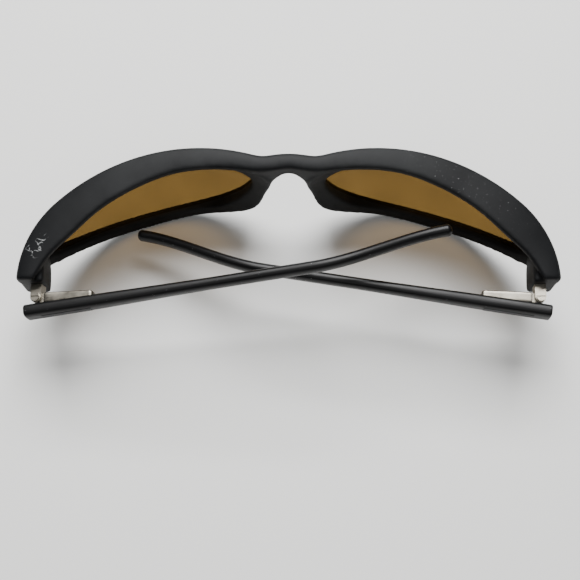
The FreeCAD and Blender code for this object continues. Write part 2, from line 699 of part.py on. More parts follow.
sunk = Placement(Vector(), Rotation(Vector(0, 0, 1), -size("case_sink")))
recess = box("case_recess", "S.case_length + S.groove_clearance", "2 * S.case_depth",
             "S.case_height + 2 * S.groove_clearance", (0, 0, 0))
recess_corner = Vector(mouth, case_middle - size("case_depth") / 2 - size("groove_clearance"),
                       -size("case_height") / 2 - size("groove_clearance"))
recess.Placement = sunk * Placement(recess_corner, Rotation())
temple_cuts = [recess]
for number, x in enumerate(rivet_places()):
    hole = rivet_shank(f"temple_hole_{number}", x)
    hole.Placement = sunk * hole.Placement
    temple_cuts.append(hole)

outer_face = -size("temple_inner") - size("temple_thickness")


def plaque_block(name, thickness):
    """Flat plate let into the outer face, square to it."""
    floor = outer_face - size("plaque_proud") + size("plaque_thickness")
    plate = box(name, "S.plaque_length", thickness, "S.plaque_height",
                (size("plaque_start"), floor, -size("plaque_height") / 2))
    plate.Placement = Placement(Vector(size("plaque_start"), floor, size("plaque_height") / 2),
                                Rotation(Vector(1, 0, 0), 180))
    return plate


temple_cuts.append(plaque_block("plaque_recess", "S.plaque_thickness + 1"))
temple_cut = boolean("MultiFuse", "temple_cuts", *temple_cuts)
temple_part = boolean("Cut", "temple_part", temple, temple_cut)
keep("temple_left", temple_part, hinge_frame(-1, fold_angle(-1)))
plaque = plaque_block("plaque", "S.plaque_thickness")
plaque_part = doc.addObject("Part::Compound", "plaque_part")
plaque_part.Links = [plaque]
keep("temple_plaque_left", plaque_part, hinge_frame(-1, fold_angle(-1)))

# right-hand pieces mirror the left ones and take the right hinge's own angles
TURNS = {
    "hinge_screw": (0, 0),
    "spring_slider": (rest_angle[-1], rest_angle[1]),
    "hinge_spring": (rest_angle[-1], rest_angle[1]),
    "spring_retainer": (rest_angle[-1], rest_angle[1]),
    "hinge_case": (rest_angle[-1], rest_angle[1]),
    "case_rivets": (rest_angle[-1], rest_angle[1]),
    "temple": (fold_angle(-1), fold_angle(1)),
    "temple_plaque": (fold_angle(-1), fold_angle(1)),
}
for stem, (left_angle, right_angle) in TURNS.items():
    source = nodes[stem + "_left"]
    keep(stem + "_right", mirrored(source, stem + "_copy", left_angle, right_angle))

# ---------------------------------------------------------------------------
# Checks and export
# ---------------------------------------------------------------------------
doc.recompute()
check_cut(head, driver_slot, "driver slot")
check_cut(bush_pad, bush_hole, "retainer's hole")
check_cut(case_pad, bore, "spring bore")
for obj in doc.Objects:
    if "Invalid" in obj.State or "Error" in obj.State:
        raise ValueError(f"{obj.Name} failed: {obj.State}")
for name, obj in nodes.items():
    if obj.Shape.isNull() or not obj.Shape.isValid():
        raise ValueError(name + " has no valid shape")
    if not obj.Shape.Solids:
        raise ValueError(name + " holds no solid")
for name, obj in nodes.items():
    obj.Shape.exportStep(os.path.join("parts", name + ".step"))
    bounds = obj.Shape.BoundBox
    print(f"{name:22s} {len(obj.Shape.Solids)} solid  {obj.Shape.Volume:9.2f} mm3  "
          f"x {bounds.XMin:7.2f} {bounds.XMax:7.2f}  y {bounds.YMin:7.2f} {bounds.YMax:7.2f}  "
          f"z {bounds.ZMin:7.2f} {bounds.ZMax:7.2f}")
print(f"hinge axis at x {pin_x:.3f}, y {pin_y:.3f}, z {-size('pin_drop'):.3f}")
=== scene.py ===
"""Wraparound sport sunglasses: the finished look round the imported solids.

Lengths inside the shape functions are millimetres in the part's own frame, with X to the
wearer's right, Y forward through the lenses and Z up from the nose saddle. They become
metres only when a mesh is made.
"""

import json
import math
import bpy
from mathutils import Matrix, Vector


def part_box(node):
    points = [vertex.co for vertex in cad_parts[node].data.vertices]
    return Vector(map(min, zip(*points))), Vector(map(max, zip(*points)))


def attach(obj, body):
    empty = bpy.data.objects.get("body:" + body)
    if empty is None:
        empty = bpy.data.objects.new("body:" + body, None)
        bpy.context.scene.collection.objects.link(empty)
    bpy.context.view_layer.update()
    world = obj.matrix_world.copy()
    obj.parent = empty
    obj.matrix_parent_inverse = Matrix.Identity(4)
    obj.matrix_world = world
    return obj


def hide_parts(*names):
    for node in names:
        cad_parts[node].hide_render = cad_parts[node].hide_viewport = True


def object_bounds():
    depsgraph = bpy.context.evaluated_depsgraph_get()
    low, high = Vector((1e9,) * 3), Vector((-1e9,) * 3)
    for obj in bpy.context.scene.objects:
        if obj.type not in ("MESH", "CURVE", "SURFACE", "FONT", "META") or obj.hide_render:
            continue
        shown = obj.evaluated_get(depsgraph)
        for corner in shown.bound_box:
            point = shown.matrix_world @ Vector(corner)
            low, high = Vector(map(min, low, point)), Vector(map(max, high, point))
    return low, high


bl_info = {
    "name": "Wraparound Sunglasses",
    "version": (1, 0, 0),
    "blender": (4, 5, 0),
    "location": "View3D > Sidebar > Sunglasses",
    "description": "Builds the moulded front, temples, hinges, lenses and stage",
    "category": "Object",
}

import bmesh
import bpy
import numpy as np
from bpy.props import FloatProperty, FloatVectorProperty, IntProperty, PointerProperty
from mathutils import Vector

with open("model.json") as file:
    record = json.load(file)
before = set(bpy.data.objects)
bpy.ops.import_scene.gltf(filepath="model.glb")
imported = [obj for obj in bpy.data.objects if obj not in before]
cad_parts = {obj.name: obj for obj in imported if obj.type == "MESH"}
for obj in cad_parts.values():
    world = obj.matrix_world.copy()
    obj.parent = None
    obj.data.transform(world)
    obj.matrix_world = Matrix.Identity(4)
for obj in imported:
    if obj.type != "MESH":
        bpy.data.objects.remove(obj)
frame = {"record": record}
CAD_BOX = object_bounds()
MM = 0.001
SIDES = {"left": -1, "right": 1}
JOINTS = {joint["name"]: joint for joint in frame["record"]["behaviour"]["joints"]}
FRONT_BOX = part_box("front_frame")
HALF_WIDTH = FRONT_BOX[1].x / MM
REAR_Y = FRONT_BOX[0].y / MM


# ---------------------------------------------------------------------------
# Sizes and colours that a user would change
# ---------------------------------------------------------------------------
def length(name, description, default):
    """Length in millimetres, kept as a plain number because the parts are millimetres."""
    return FloatProperty(name=name, description=description, default=default)


def colour(name, description, default):
    return FloatVectorProperty(name=name, description=description, default=default,
                               subtype="COLOR", size=3, min=0.0, max=1.0)


class FrontSettings(bpy.types.PropertyGroup):
    lens_width: length("Lens width", "Width of a lens opening, mm", 55.6)
    lens_height: length("Lens height", "Height of a lens opening, mm", 27.8)
    lens_gap: length("Lens gap", "Distance between the lens openings, mm", 20.8)
    lens_drop: length("Lens drop", "Lens centres below the ends of the brow, mm", 5.3)
    rim_width: length("Rim width", "Width of the rims, mm", 4.0)
    rim_depth: length("Rim depth", "Front to back of the rims, mm", 2.5)
    nose_depth: length("Nose depth", "Extra depth of the rims beside the nose, mm", 1.8)
    base_radius: length("Base curve", "Radius of the rims' spherical face, mm", 53.8)
    base_drop: length("Base drop", "Sphere's centre below the top of the brow, mm", 14.0)
    lens_inset: length("Lens inset", "Lens behind the rims' front face, mm", 0.3)
    lens_thickness: length("Lens thickness", "Thickness of the lenses, mm", 1.2)
    base_lead: length("Base lead", "Sphere's centre ahead of the lobe's centre, mm", 1.5)
    lobe_radius: length("Lobe radius", "Plan radius of the brow over each eye, mm", 56.0)
    lobe_shift: length("Lobe shift", "Foremost point inward of the lens centre, mm", 13.2)
    lobe_lead: length("Lobe lead", "Brow ahead of the bridge over each eye, mm", 2.0)
    side_radius: length("Side radius", "Plan radius where the brow wraps round, mm", 28.0)
    bridge_width: length("Bridge width", "Between the two lobes, mm", 14.4)
    bridge_depth: length("Bridge depth", "Front to back of the bridge, mm", 4.0)
    brow_height: length("Brow height", "Height of the brow's front edge, mm", 5.0)
    lip_height: length("Lip height", "Height of the brow's inner lip, mm", 2.4)
    brow_drop: length("Brow drop", "Ends of the brow below its middle, mm", 6.8)
    brow_round: length("Brow round", "Rounding of the brow's long edges, mm", 0.9)
    block_width: length("Block width", "Width of the block that holds a hinge, mm", 7.0)
    block_height: length("Block height", "Height of the block that holds a hinge, mm", 12.8)
    voxel: length("Moulding detail", "Cell that the moulding is joined with, mm", 0.36)
    smoothing: IntProperty(name="Smoothing", description="Passes over the moulding",
                           default=7, min=0)


class TempleSettings(bpy.types.PropertyGroup):
    reach: length("Reach", "Hinge axis to the tip, mm", 110.0)
    butt: length("Butt", "Square end beyond the hinge axis, mm", 3.3)
    inner: length("Inner face", "Inner face behind the hinge axis, mm", 1.6)
    thickness: length("Thickness", "Thickness at the square end, mm", 3.6)
    height: length("Height", "Height at the square end, mm", 6.0)
    waist: length("Waist", "Hinge axis to the end of the deep part, mm", 17.0)
    waist_height: length("Waist height", "Height there, mm", 5.2)
    arm: length("Arm", "Hinge axis to the slim part, mm", 45.0)
    arm_thickness: length("Arm thickness", "Thickness of the slim part, mm", 3.0)
    arm_height: length("Arm height", "Height of the slim part, mm", 4.2)
    hook_start: length("Hook start", "Hinge axis to the start of the curve, mm", 74.0)
    hook_inward: length("Hook inward", "Inward travel of the tip, mm", 6.9)
    hook_drop: length("Hook drop", "Downward travel of the tip, mm", 8.5)
    case_sink: FloatProperty(name="Case sink", description="Angle between case and temple",
                             default=math.radians(6.4), subtype="ANGLE")


class HingeSettings(bpy.types.PropertyGroup):
    case_start: length("Case start", "Mouth of the case from the hinge axis, mm", 2.2)
    case_length: length("Case length", "Length of the spring case, mm", 13.5)
    case_depth: length("Case depth", "Case square to the temple, mm", 2.8)
    case_height: length("Case height", "Height of the case, mm", 3.4)
    case_middle: length("Case middle", "Middle of the case from the hinge axis, mm", -0.1)
    case_round: length("Case round", "Rounding of the case's long edges, mm", 0.45)
    end_round: length("End round", "Rounding of the case's far end, mm", 1.1)
    plaque_start: length("Plaque start", "Plaque from the hinge axis, mm", 1.0)
    plaque_length: length("Plaque length", "Length of the plain plaque, mm", 13.5)
    plaque_height: length("Plaque height", "Height of the plain plaque, mm", 2.2)
    plaque_proud: length("Plaque proud", "Plaque above the outer face, mm", 0.1)


class FinishSettings(bpy.types.PropertyGroup):
    front: colour("Front", "Moulded front", (0.0042, 0.0045, 0.0051))
    # paler colour of the dusty clouds and rubbed edges; on the middle of the front it also paints
    # a sheen
    front_dust_and_sheen: colour("Front bloom", "Rubbed and dusty patches", (0.0185, 0.0193, 0.0200))
    temple: colour("Temple", "Satin black temples", (0.0030, 0.0029, 0.0030))
    lens: colour("Lens", "What each face of a lens lets through", (0.402, 0.309, 0.165))
    nickel: colour("Nickel", "Hinge metal", (0.30, 0.279, 0.235))
    scuff: colour("Scuff", "Scuffed plastic", (0.42, 0.43, 0.43))
    plaque: colour("Plaque", "Plain plaque", (0.012, 0.012, 0.014))
    front_gloss: FloatProperty(name="Front gloss", description="Specular level of the front",
                               default=0.115, min=0.0, max=1.0)
    temple_gloss: FloatProperty(name="Temple gloss", description="Specular level of the temples",
                                default=0.22, min=0.0, max=1.0)


class StageSettings(bpy.types.PropertyGroup):
    floor: colour("Floor", "Pale table", (0.78, 0.78, 0.765))
    room: FloatProperty(name="Room light", description="Even light from all round", default=0.12)
    window: FloatProperty(name="Window", description="Power of the large soft lamp ahead",
                          default=25.0, unit="POWER")
    fill: FloatProperty(name="Fill", description="Power of the soft lamp behind", default=2.2,
                        unit="POWER")
    distance: FloatProperty(name="Distance", description="Camera to the bridge", default=0.3012,
                            unit="LENGTH")
    aside: FloatProperty(name="Aside", description="Camera to the right of the middle",
                         default=0.00035, unit="LENGTH")
    elevation: FloatProperty(name="Elevation", description="Camera above the bridge",
                             default=math.radians(67.72), subtype="ANGLE")
    tilt: FloatProperty(name="Tilt", description="Optical axis from straight down",
                        default=math.radians(15.98), subtype="ANGLE")
    field: FloatProperty(name="Field", description="Field of view",
                         default=math.radians(29.0), subtype="ANGLE")


GROUPS = {"sun_front": FrontSettings, "sun_temple": TempleSettings, "sun_hinge": HingeSettings,
          "sun_finish": FinishSettings, "sun_stage": StageSettings}


def settings(name):
    return getattr(bpy.context.scene, "sun_" + name)


# ---------------------------------------------------------------------------
# Surfaces
# ---------------------------------------------------------------------------
def make_mesh(name, shells):
    """One mesh object of closed shells. A shell is its points in millimetres, its quads
    and its triangles."""
    starts = np.cumsum([0] + [len(points) for points, _, _ in shells])
    points = np.vstack([shell[0] for shell in shells]) * MM
    quads = np.vstack([shell[1] + start for shell, start in zip(shells, starts)])
    triangles = np.vstack([shell[2] + start for shell, start in zip(shells, starts)])
    mesh = bpy.data.meshes.new(name)
    mesh.from_pydata(points.tolist(), [], quads.tolist() + triangles.tolist())
    mesh.validate()
    obj = bpy.data.objects.new(name, mesh)
    bpy.context.scene.collection.objects.link(obj)
    return outward(obj)


def grid_quads(rows, columns, close_rows):
    """Quads of a grid whose columns close on themselves, and whose rows may do so too."""
    row = np.arange(rows if close_rows else rows - 1)[:, None]
    column = np.arange(columns)[None, :]
    after_row = (row + 1) % rows
    after_column = (column + 1) % columns
    corners = [row * columns + column, row * columns + after_column,
               after_row * columns + after_column, after_row * columns + column]
    return np.stack(np.broadcast_arrays(*corners), axis=-1).reshape(-1, 4)


def torus_shell(grid):
    """Shell of a grid that closes both ways."""
    rows, columns = grid.shape[:2]
    return grid.reshape(-1, 3), grid_quads(rows, columns, True), np.zeros((0, 3), int)


def rod_shell(grid):
    """Shell of rings along a path, with a fan over the ring at each end."""
    rows, columns = grid.shape[:2]
    points = np.vstack([grid.reshape(-1, 3), grid[0].mean(0), grid[-1].mean(0)])
    around = np.arange(columns)
    after = (around + 1) % columns
    first = np.full(columns, rows * columns)
    end = (rows - 1) * columns
    fans = [np.stack([first, after, around], 1),
            np.stack([first + 1, end + around, end + after], 1)]
    return points, grid_quads(rows, columns, False), np.vstack(fans)


def outward(obj):
    """Merge doubles and turn every face outwards."""
    work = bmesh.new()
    work.from_mesh(obj.data)
    bmesh.ops.remove_doubles(work, verts=work.verts, dist=1e-7)
    bmesh.ops.recalc_face_normals(work, faces=work.faces)
    work.to_mesh(obj.data)
    work.free()
    obj.data.polygons.foreach_set("use_smooth", np.ones(len(obj.data.polygons), bool))
    return obj


def spline(points, count, closed=False):
    """Cubic spline through points, spaced by chord: each span is a cubic whose second
    derivatives agree at the points, and are zero at the ends of an open one."""
    points = np.asarray(points, float)
    if closed:
        points = np.vstack([points, points[:1]])
    knots = np.concatenate([[0], np.cumsum(np.linalg.norm(np.diff(points, axis=0), axis=1))])
    step = np.diff(knots)
    slope = np.diff(points, axis=0) / step[:, None]
    size = len(points)
    matrix = np.zeros((size, size))
    right = np.zeros_like(points)
    inner = np.arange(1, size - 1)
    matrix[inner, inner - 1] = step[:-1]
    matrix[inner, inner] = 2 * (step[:-1] + step[1:])
    matrix[inner, inner + 1] = step[1:]
    right[1:-1] = 6 * np.diff(slope, axis=0)
    if closed:
        matrix[0, [0, 1, -2]] = [2 * (step[0] + step[-1]), step[0], step[-1]]
        right[0] = 6 * (slope[0] - slope[-1])
        matrix[-1, [0, -1]] = [1, -1]
    else:
        matrix[0, 0] = matrix[-1, -1] = 1
    bend = np.linalg.solve(matrix, right)
    where = np.linspace(0, knots[-1], count, endpoint=not closed)
    span = np.clip(np.searchsorted(knots, where, side="right") - 1, 0, size - 2)
    width, low, high = step[span], knots[span + 1] - where, where - knots[span]
    low, high, width = low[:, None], high[:, None], width[:, None]
    return ((bend[span] * low ** 3 + bend[span + 1] * high ** 3) / (6 * width)
            + (points[span] / width - bend[span] * width / 6) * low
            + (points[span + 1] / width - bend[span + 1] * width / 6) * high)


def rounded_box_ring(half_a, half_b, radius, corner_steps=6, side_steps=5):
    """Closed ring round a rectangle with round corners. Half sizes may be arrays of
    stations; the result is stations x points x 2. Each corner is a quarter circle, and
    each side is divided evenly."""
    half_a, half_b, radius = np.broadcast_arrays(*map(np.atleast_1d, (half_a, half_b, radius)))
    angle = np.linspace(0, math.pi / 2, corner_steps)
    rings = []
    signs = [(1, 1), (-1, 1), (-1, -1), (1, -1)]
    for quarter, (sign_a, sign_b) in enumerate(signs):
        turn = angle + quarter * math.pi / 2
        a = sign_a * (half_a - radius)[:, None] + radius[:, None] * np.cos(turn)
        b = sign_b * (half_b - radius)[:, None] + radius[:, None] * np.sin(turn)
        rings.append(np.stack([a, b], -1))
    corners = []
    share = np.linspace(0, 1, side_steps + 2)[1:-1, None]
    for quarter, ring in enumerate(rings):
        following = rings[(quarter + 1) % 4]
        start, end = ring[:, -1:, :], following[:, :1, :]
        corners += [ring, start + (end - start) * share[None]]
    return np.concatenate(corners, axis=1)


# ---------------------------------------------------------------------------
# Front: brow, rims and nose flanges, joined into one moulding
# ---------------------------------------------------------------------------
BROW_CAP = 0.8           # rounding of the brow's two ends
BROW_END = 5.2           # inner lip's end inward of the outer edge
BROW_CROWN = 0.3         # rise of the brow's top between its two edges
CROWN_DROP = 0.25        # edges of the brow's top below its nominal height
LIP_FADE = 8.0           # from the middle to where the inner lip has thinned
ARCH_RATE = 0.24         # nose arch falls by this times the distance to the power below
ARCH_POWER = 2.1
ARCH_START, ARCH_END = 5.0, 8.5    # from the middle, where the arch hands over to the rims
DIP_SPREAD = 1.2         # spread of the Gaussian that softens the dip beside the bridge
DIP_REACH = 40           # samples on each side that the Gaussian takes in
DIP_END, DIP_FADE = 18.0, 5.0      # from the middle to where that has ended, and its fade
FRONT_STATIONS = 160     # places along half of the front
RIM_STATIONS = 260       # bearings round a rim
OUTLINE_STEPS = 720      # points along an outline that bearings are read from
BLOCK_CAP = 0.6          # rounding of the two ends of a hinge block
BLOCK_ROUND = 0.8        # rounding of its long edges
BLOCK_START = 2.6        # where its outer face starts, outward of its root
BLOCK_LEAD = 1.6         # where its inner face starts, outward of its root
BLOCK_BEHIND = 3.0       # the same, behind the start of the outer face
BLOCK_BEND = 6.0         # the inner face's middle control point behind that start
BLOCK_SKIN = 0.35        # outer face inward of the brow's front edge
BLOCK_TOP = 2.5          # its top below the top of the brow
RIM_ROUND = 0.28         # rounding of a rim's section, of half its width
NOSE_BEARING = 0.88 * math.pi      # where round a rim the nose flange is deepest
NOSE_SPREAD = 0.42       # how far round the rim it spreads, in radians
# inner lip of the brow in plan: across from the middle, and behind the back of the bridge
LIP_LINE = [(-6.7, 1.1), (0.0, 0.3), (6.7, 1.1), (13.0, 0.5), (20.0, 0.0), (30.0, 0.9),
            (39.8, 4.4), (50.3, 10.7), (57.8, 17.6)]
LIP_TURN = (-3.0, 5.0)   # its last bend, from its end


def front_numbers():
    """Places that the front's curves share, from its sizes."""
    s = settings("front")
    centre_x = s.lens_gap / 2 + s.lens_width / 2
    lobe = np.array([centre_x - s.lobe_shift, s.bridge_depth / 2 + s.lobe_lead - s.lobe_radius])
    step = s.lobe_radius - s.side_radius
    sine = (HALF_WIDTH - s.side_radius - lobe[0]) / step
    side = lobe + step * np.array([sine, math.sqrt(1 - sine ** 2)])
    sphere = np.array([lobe[0], lobe[1] + s.base_lead, s.brow_height - s.base_drop])
    return s, np.array([centre_x, -s.brow_drop - s.lens_drop]), lobe, side, math.asin(sine), sphere


def brow_top(x):
    """Height of the brow's top: it falls with the square of the distance from the middle."""
    s = settings("front")
    return s.brow_height - s.brow_drop * (x / HALF_WIDTH) ** 2


def evenly(path, count):
    """The same line through count points, evenly spaced along it."""
    along = np.concatenate([[0], np.cumsum(np.linalg.norm(np.diff(path, axis=0), axis=1))])
    even = np.linspace(0, along[-1], count)
    return np.stack([np.interp(even, along, path[:, 0]), np.interp(even, along, path[:, 1])], 1)


def front_edge(count, end_y):
    """Front edge of the brow's right half in plan: the bridge's arc, the lobe's arc and the
    side's arc, with the dip between the first two smoothed by a Gaussian."""
    s, _, lobe, side, wrap, _ = front_numbers()
    dip_x = s.bridge_width / 2
    dip_angle = math.asin((dip_x - lobe[0]) / s.lobe_radius)
    dip_y = lobe[1] + s.lobe_radius * math.cos(dip_angle)
    rise = s.bridge_depth / 2 - dip_y
    bridge_radius = (dip_x ** 2 + rise ** 2) / (2 * rise)
    x = np.linspace(0, dip_x, 60)
    bridge = np.stack([x, s.bridge_depth / 2 - bridge_radius
                       + np.sqrt(bridge_radius ** 2 - x ** 2)], 1)
    angle = np.linspace(dip_angle, wrap, 400)[1:, None]
    over_eye = lobe + s.lobe_radius * np.hstack([np.sin(angle), np.cos(angle)])
    last = math.acos((end_y - side[1]) / s.side_radius)
    angle = np.linspace(wrap, last, 200)[1:, None]
    at_side = side + s.side_radius * np.hstack([np.sin(angle), np.cos(angle)])
    path = evenly(np.vstack([bridge, over_eye, at_side]), 4 * count)
    spacing = np.linalg.norm(path[1] - path[0])
    steps = np.arange(-DIP_REACH, DIP_REACH + 1)
    spread = np.exp(-0.5 * (steps * spacing / DIP_SPREAD) ** 2)
    both_sides = np.concatenate([path[DIP_REACH:0:-1, 1], path[:, 1]])
    soft = np.convolve(both_sides, spread / spread.sum(), mode="same")[DIP_REACH:]
    near = np.clip((DIP_END - path[:, 0]) / DIP_FADE, 0, 1)
    path[:, 1] += (soft - path[:, 1]) * near
    return evenly(path, count)


def inner_edge(count, end):
    """Inner lip of the brow's right half in plan, a spline behind the front edge."""
    back = -settings("front").bridge_depth / 2
    points = [(x, back - behind) for x, behind in LIP_LINE] + [end + LIP_TURN, end]
    path = spline(points, 1200)
    path = path[path[:, 0] >= 0]
    path[0, 0] = 0
    return evenly(path, count)


def smooth(start, end, value):
    """Zero before start and one after end, by 3t^2 - 2t^3 between them."""
    share = np.clip((value - start) / (end - start), 0, 1)
    return share * share * (3 - 2 * share)


def both_halves(path):
    """A line in plan carried on into its own mirror image across the middle."""
    return np.vstack([path[:0:-1] * [-1, 1], path])


def band_shell(front, inner, top, under, radius, cap):
    """Band between two lines in plan. Its section is a rectangle with round corners, from
    the inner line to the front one and from the under height to the top height, and its
    ends are rounded by drawing in the section along a quarter circle."""
    quarter = np.linspace(0, math.pi / 2, 6)[1:]
    inset, push = cap * (1 - np.cos(quarter)), cap * np.sin(quarter)
    first = np.zeros(len(quarter), int)
    order = np.concatenate([first, np.arange(len(front)), first + len(front) - 1])
    draw = np.concatenate([inset[::-1], np.zeros(len(front)), inset])
    push = np.concatenate([push[::-1], np.zeros(len(front)), push])
    heading = np.gradient((front + inner) / 2, axis=0)
    heading /= np.linalg.norm(heading, axis=1)[:, None]
    heading[0] *= -1
    front, inner, heading = front[order], inner[order], heading[order]
    middle_x = (front[:, 0] + inner[:, 0]) / 2
    width = np.linalg.norm(front - inner, axis=1)
    tall = top(middle_x, 0.5) - under(middle_x, 0.5)
    corner = np.minimum(radius, 0.45 * (np.minimum(width, tall) - 2 * draw))
    ring = rounded_box_ring(width / 2 - draw, tall / 2 - draw, corner, 7, 9)
    share = (ring[..., 0] / (width / 2)[:, None] + 1) / 2
    level = (ring[..., 1] / (tall / 2)[:, None] + 1) / 2
    plan = inner[:, None] + (front - inner)[:, None] * share[..., None]
    low, high = under(plan[..., 0], share), top(plan[..., 0], share)
    plan = plan + (heading * push[:, None])[:, None]
    z = low + (high - low) * level
    return rod_shell(np.concatenate([plan, z[..., None]], -1))


def brow_shell():
    """Visor band from one end of the front to the other. It is crowned across, full height
    at the front edge and thinner at the inner lip."""
    s = settings("front")
    end = np.array([HALF_WIDTH - BROW_END, REAR_Y + BROW_CAP])

    def top(x, share):
        return brow_top(x) - CROWN_DROP + BROW_CROWN * np.sin(math.pi * share)

    def under(x, share):
        across = np.abs(x)
        middle = np.exp(-(across / LIP_FADE) ** 2)
        lip = s.lip_height + (s.brow_height - s.lip_height) * middle
        arch = ARCH_RATE * across ** ARCH_POWER * smooth(ARCH_END, ARCH_START, across)
        return top(x, share) - lip - (s.brow_height - lip) * share - arch

    front = front_edge(FRONT_STATIONS, end[1])
    inner = inner_edge(FRONT_STATIONS, end)
    return band_shell(both_halves(front), both_halves(inner), top, under, s.brow_round, BROW_CAP)


def block_shell(side):
    """Block that holds a hinge, behind the rim's outer end and lower than the brow. Its
    inner face is a quadratic curve in plan, a(1-t)^2 + 2bt(1-t) + ct^2."""
    s = settings("front")
    root = HALF_WIDTH - s.block_width
    front = front_edge(FRONT_STATIONS, REAR_Y + BLOCK_CAP)
    front = front[front[:, 0] > root + BLOCK_START] - [BLOCK_SKIN, 0]
    lead = front[0, 1]
    across = np.linspace(0, 1, len(front))[:, None]
    inner = np.array([root + BLOCK_LEAD, lead - BLOCK_BEHIND]) * (1 - across) ** 2
    inner = inner + np.array([root, lead - BLOCK_BEND]) * 2 * across * (1 - across)
    inner = inner + np.array([root, REAR_Y + BLOCK_CAP]) * across ** 2
    low = s.brow_height - s.brow_drop - s.block_height

    def top(x, share):
        return brow_top(x) - BLOCK_TOP

    def under(x, share):
        return np.full(np.broadcast(x, share).shape, low)

    mirror = [side, 1]
    return band_shell(front * mirror, inner * mirror, top, under, BLOCK_ROUND, BLOCK_CAP)


# shares of half a lens opening, across and up, round the opening from its inner side
LENS_SHAPE = [(-1.0, 0.46), (-0.96, -0.10), (-0.68, -0.76), (0.0, -1.15), (0.64, -0.90),
              (0.96, -0.44), (1.04, -0.04), (0.88, 0.45), (0.0, 0.84), (-0.76, 0.88)]
# the same for the outside of a rim, of the opening with the rim's width added
RIM_SHAPE = [(-1.04, 0.52), (-1.005, 0.03), (-0.91, -0.45), (-0.69, -0.74), (0.01, -1.045),
             (0.607, -0.80), (0.89, -0.43), (1.01, -0.07), (1.03, 0.30), (0.37, 0.60),
             (-0.415, 0.78), (-0.95, 0.76)]


def eye_radius(shape, growth, angle):
    """Distance from the lens centre to an outline in each direction."""
    s, centre = front_numbers()[:2]
    half = np.array([s.lens_width / 2 + growth, s.lens_height / 2 + growth])
    path = spline(np.asarray(shape) * half, OUTLINE_STEPS, closed=True)
    bearing = np.arctan2(path[:, 1], path[:, 0])
    order = np.argsort(bearing)
    return np.interp(angle, bearing[order], np.hypot(*path[order].T), period=2 * math.pi)


def rim_shell(side):
    """Closed ring round one lens. Round the ring goes the bearing from the lens centre, and
    round its section a rounded square from the opening to the outside and from the
    spherical front face to the back, which reaches further back beside the nose."""
    s, centre, lobe, wrap_centre, wrap, sphere = front_numbers()
    angle = np.linspace(-math.pi, math.pi, RIM_STATIONS, endpoint=False)
    inside = eye_radius(LENS_SHAPE, 0.0, angle)
    outside = eye_radius(RIM_SHAPE, s.rim_width, angle)
    section = rounded_box_ring(1.0, 1.0, RIM_ROUND, 5, 4)[0]
    share = (section[:, 0] + 1) / 2
    depth_share = (section[:, 1] + 1) / 2
    reach = inside[:, None] + (outside - inside)[:, None] * share
    x = centre[0] + reach * np.cos(angle)[:, None]
    z = centre[1] + reach * np.sin(angle)[:, None]
    from_nose = np.angle(np.exp(1j * (angle + NOSE_BEARING)))
    nose = np.exp(-(from_nose / NOSE_SPREAD) ** 2)
    depth = depth_share[None, :] * (s.rim_depth + s.nose_depth * nose[:, None])
    radius = s.base_radius - np.minimum(depth, s.rim_depth)
    inner = np.maximum(radius ** 2 - (x - sphere[0]) ** 2 - (z - sphere[2]) ** 2, 1.0)
    y = sphere[1] + np.sqrt(inner) - np.maximum(depth - s.rim_depth, 0)
    bulge = sphere[1] + s.base_radius - lobe[1] - s.lobe_radius
    around = np.clip(s.side_radius ** 2 - np.clip(x - wrap_centre[0], 0, None) ** 2, 0, None)
    limit = wrap_centre[1] + np.sqrt(around) + bulge
    beyond = x > lobe[0] + s.lobe_radius * math.sin(wrap)
    y = np.where(beyond, np.minimum(y, limit), y)
    return torus_shell(np.stack([side * x, y, z], -1))


def apply_modifiers(obj):
    """Replace an object's mesh by what its modifiers make of it."""
    graph = bpy.context.evaluated_depsgraph_get()
    done = bpy.data.meshes.new_from_object(obj.evaluated_get(graph))
    obj.modifiers.clear()
    obj.data = done


def mould(obj, cell, passes):
    """Join overlapping shells into one skin on a fine grid of cells, then smooth it."""
    remesh = obj.modifiers.new("join", "REMESH")
    remesh.mode = "VOXEL"
    remesh.voxel_size = cell * MM
    soften = obj.modifiers.new("soften", "SMOOTH")
    soften.factor = 0.5
    soften.iterations = passes
    apply_modifiers(obj)
    obj.data.polygons.foreach_set("use_smooth", np.ones(len(obj.data.polygons), bool))


# ---------------------------------------------------------------------------
# Hinge frames, temples and hinge metal
# ---------------------------------------------------------------------------
def hinge_axes(side_name, case=False):
    """Origin and three directions of a hinge's own frame: along the temple or the case,
    forward, and up the screw. The case runs along the flex slide, and the temple lies
    turned forward from it by the case's sink."""
    side = SIDES[side_name]
    fold = JOINTS[f"temple_{side_name}_fold"]
    up = np.array(fold["axis"]) * side
    along = np.array(JOINTS[f"temple_{side_name}_flex"]["axis"])
    ahead = np.cross(up, along) * -side
    if not case:
        turn = settings("temple").case_sink
        along, ahead = (along * math.cos(turn) + ahead * math.sin(turn),
                        ahead * math.cos(turn) - along * math.sin(turn))
    return np.array(fold["pos_m"]) / MM, np.stack([along, ahead, up])


def place(shell, axes):
    """A shell in a hinge's own frame moved to the part's frame."""
    origin, directions = axes
    return origin + shell[0] @ directions, *shell[1:]


def hook(x):
    """Share of the tip's curve at a distance along the temple: smooth step 3b^2 - 2b^3."""
    s = settings("temple")
    bend = np.clip((x - s.hook_start) / (s.reach - s.hook_start), 0, 1)
    return bend ** 2 * (3 - 2 * bend)


BUTT_ROUND = 0.45        # rounding of the temple's square end
TIP_ROUND = 1.2          # rounding of its tip
TIP_OVER = 0.9           # tip's rounding past the temple's reach
TEMPLE_STATIONS = 260    # sections between the two rounded ends
SECTION_POWERS = [3.2, 3.0, 2.5, 2.3]    # superellipse exponents from the hinge to the tip
TAPER_SPAN = 21          # stations that a change of taper is averaged over
TAPER_END = 15           # stations at each end that keep their size


